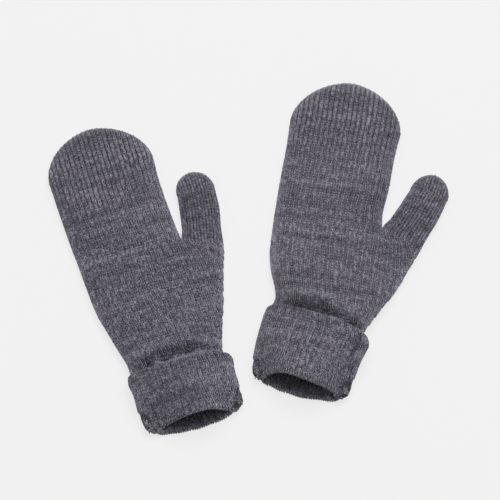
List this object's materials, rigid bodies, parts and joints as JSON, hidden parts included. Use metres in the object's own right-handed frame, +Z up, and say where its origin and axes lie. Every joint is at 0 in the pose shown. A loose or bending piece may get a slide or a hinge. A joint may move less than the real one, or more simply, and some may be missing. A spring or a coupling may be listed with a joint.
{
  "type": "pair of knitted mittens",
  "caption": "Pair of plain knitted wool mittens with turned-up ribbed cuffs, laid flat side by side with both thumbs pointing the same way.",
  "frame": {"origin": "centre of the pair's box, on the surface that the mittens lie on", "axes": "+Z up from that surface, +Y from the cuffs towards the finger tips, +X from the left mitten to the right one, the way both thumbs point"},
  "size_m": [0.299, 0.2816, 0.03],
  "materials": {
    "wool": "matt heather-grey plain knit, ribbed at the cuffs"
  },
  "bodies": {
    "root": {"left_back": "wool", "left_palm": "wool", "left_thumb_back": "wool", "left_thumb_palm": "wool", "left_cuff_back": "wool", "left_cuff_palm": "wool", "right_back": "wool", "right_palm": "wool", "right_thumb_back": "wool", "right_thumb_palm": "wool", "right_cuff_back": "wool", "right_cuff_palm": "wool"}
  },
  "joints": []
}
